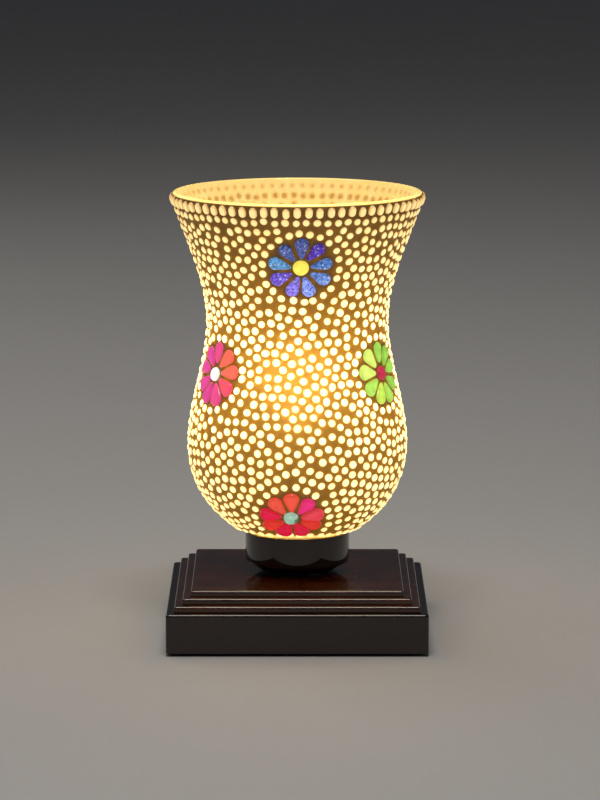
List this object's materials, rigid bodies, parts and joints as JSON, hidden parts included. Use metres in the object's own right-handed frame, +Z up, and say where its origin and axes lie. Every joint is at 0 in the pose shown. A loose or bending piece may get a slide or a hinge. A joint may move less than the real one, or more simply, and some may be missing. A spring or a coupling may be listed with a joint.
{
  "type": "mosaic glass table lamp",
  "caption": "Table lamp with a waisted, flared glass shade set with beads and petal flowers, lit from inside, lifting off a turned wooden cup on a moulded square base.",
  "frame": {"origin": "bottom centre of the square base, on the surface the lamp stands on", "axes": "+Z up along the shade's axis, -Y towards the front, +X to the viewer's right; the cord bush is on +Y"},
  "size_m": [0.144, 0.1455, 0.2481],
  "materials": {
    "lacquered_wood": "high-gloss dark red-brown lacquer",
    "board_wood": "high-gloss red-brown lacquer",
    "cup_wood": "gloss dark lacquer",
    "fibreboard": "plain",
    "zinc_steel": "satin zinc plate",
    "pad_rubber": "matt",
    "bush_rubber": "matt",
    "brass": "satin",
    "holder_plastic": "glossy moulded",
    "steatite": "matt",
    "brown_sleeve": "satin",
    "blue_sleeve": "satin",
    "block_plastic": "matt",
    "cork": "matt",
    "nickel": "polished",
    "black_glass": "glossy",
    "stem_glass": "clear",
    "filament": "glowing",
    "bulb_glass": "pearl, lit",
    "shade_glass": "frosted, lit from inside",
    "grout": "glossy translucent",
    "cream_bead": "glossy, lit",
    "blue_petal": "glitter-backed glass",
    "pink_petal": "glossy glass",
    "lime_petal": "glossy glass",
    "red_petal": "glossy glass",
    "yellow_button": "glossy glass",
    "white_button": "glossy glass",
    "crimson_button": "glossy glass",
    "aqua_button": "faceted glass"
  },
  "bodies": {
    "base": {"plinth": "lacquered_wood", "top_board": "board_wood", "shade_cup": "cup_wood", "bottom_cover": "fibreboard", "cover_screws": "zinc_steel", "feet": "pad_rubber", "cord_bush": "bush_rubber", "threaded_rod": "brass", "rod_nut": "zinc_steel", "rod_washer": "zinc_steel", "holder_spacer": "brass", "holder_cap": "holder_plastic", "holder_body": "holder_plastic", "holder_insert": "steatite", "screw_shell": "brass", "centre_contact": "brass", "holder_terminals": "brass", "live_lead": "brown_sleeve", "neutral_lead": "blue_sleeve", "terminal_block": "block_plastic", "block_screws": "zinc_steel", "neck_gasket": "cork"},
    "shade": {"shade_glass": "shade_glass", "mosaic_bed": "grout", "rim_beads": "cream_bead", "petals_high_front": "blue_petal", "petals_high_right": "pink_petal", "petals_high_left": "lime_petal", "petals_mid_right": "lime_petal", "petals_mid_rear": "blue_petal", "petals_mid_left": "pink_petal", "petals_low_front": "red_petal", "petals_low_right": "blue_petal", "petals_low_left": "lime_petal", "centre_high_front": "yellow_button", "centre_high_right": "white_button", "centre_high_left": "crimson_button", "centre_mid_right": "crimson_button", "centre_mid_rear": "yellow_button", "centre_mid_left": "white_button", "centre_low_front": "aqua_button", "centre_low_right": "yellow_button", "centre_low_left": "crimson_button"},
    "bulb_tip": {"bulb_tip": "nickel"},
    "bulb": {"bulb_insulator": "black_glass", "bulb_cap": "nickel", "bulb_stem": "stem_glass", "bulb_filament": "filament", "bulb_glass": "bulb_glass"}
  },
  "joints": [
    {"name": "shade_lift", "type": "slide", "parent": "base", "child": "shade", "axis": [0, 0, 1], "range_m": [0, 0.13]},
    {"name": "bulb_rise", "type": "slide", "parent": "base", "child": "bulb_tip", "axis": [0, 0, 1], "range_m": [0, 0.0142]},
    {"name": "bulb_turn", "type": "hinge", "parent": "bulb_tip", "child": "bulb", "pos_m": [0, 0, 0.0865], "axis": [0, 0, 1], "range_deg": [0, 1800]}
  ],
  "couplings": [
    {"joint": "bulb_rise", "follows": "bulb_turn", "m_per_rad": 0.00044913}
  ]
}
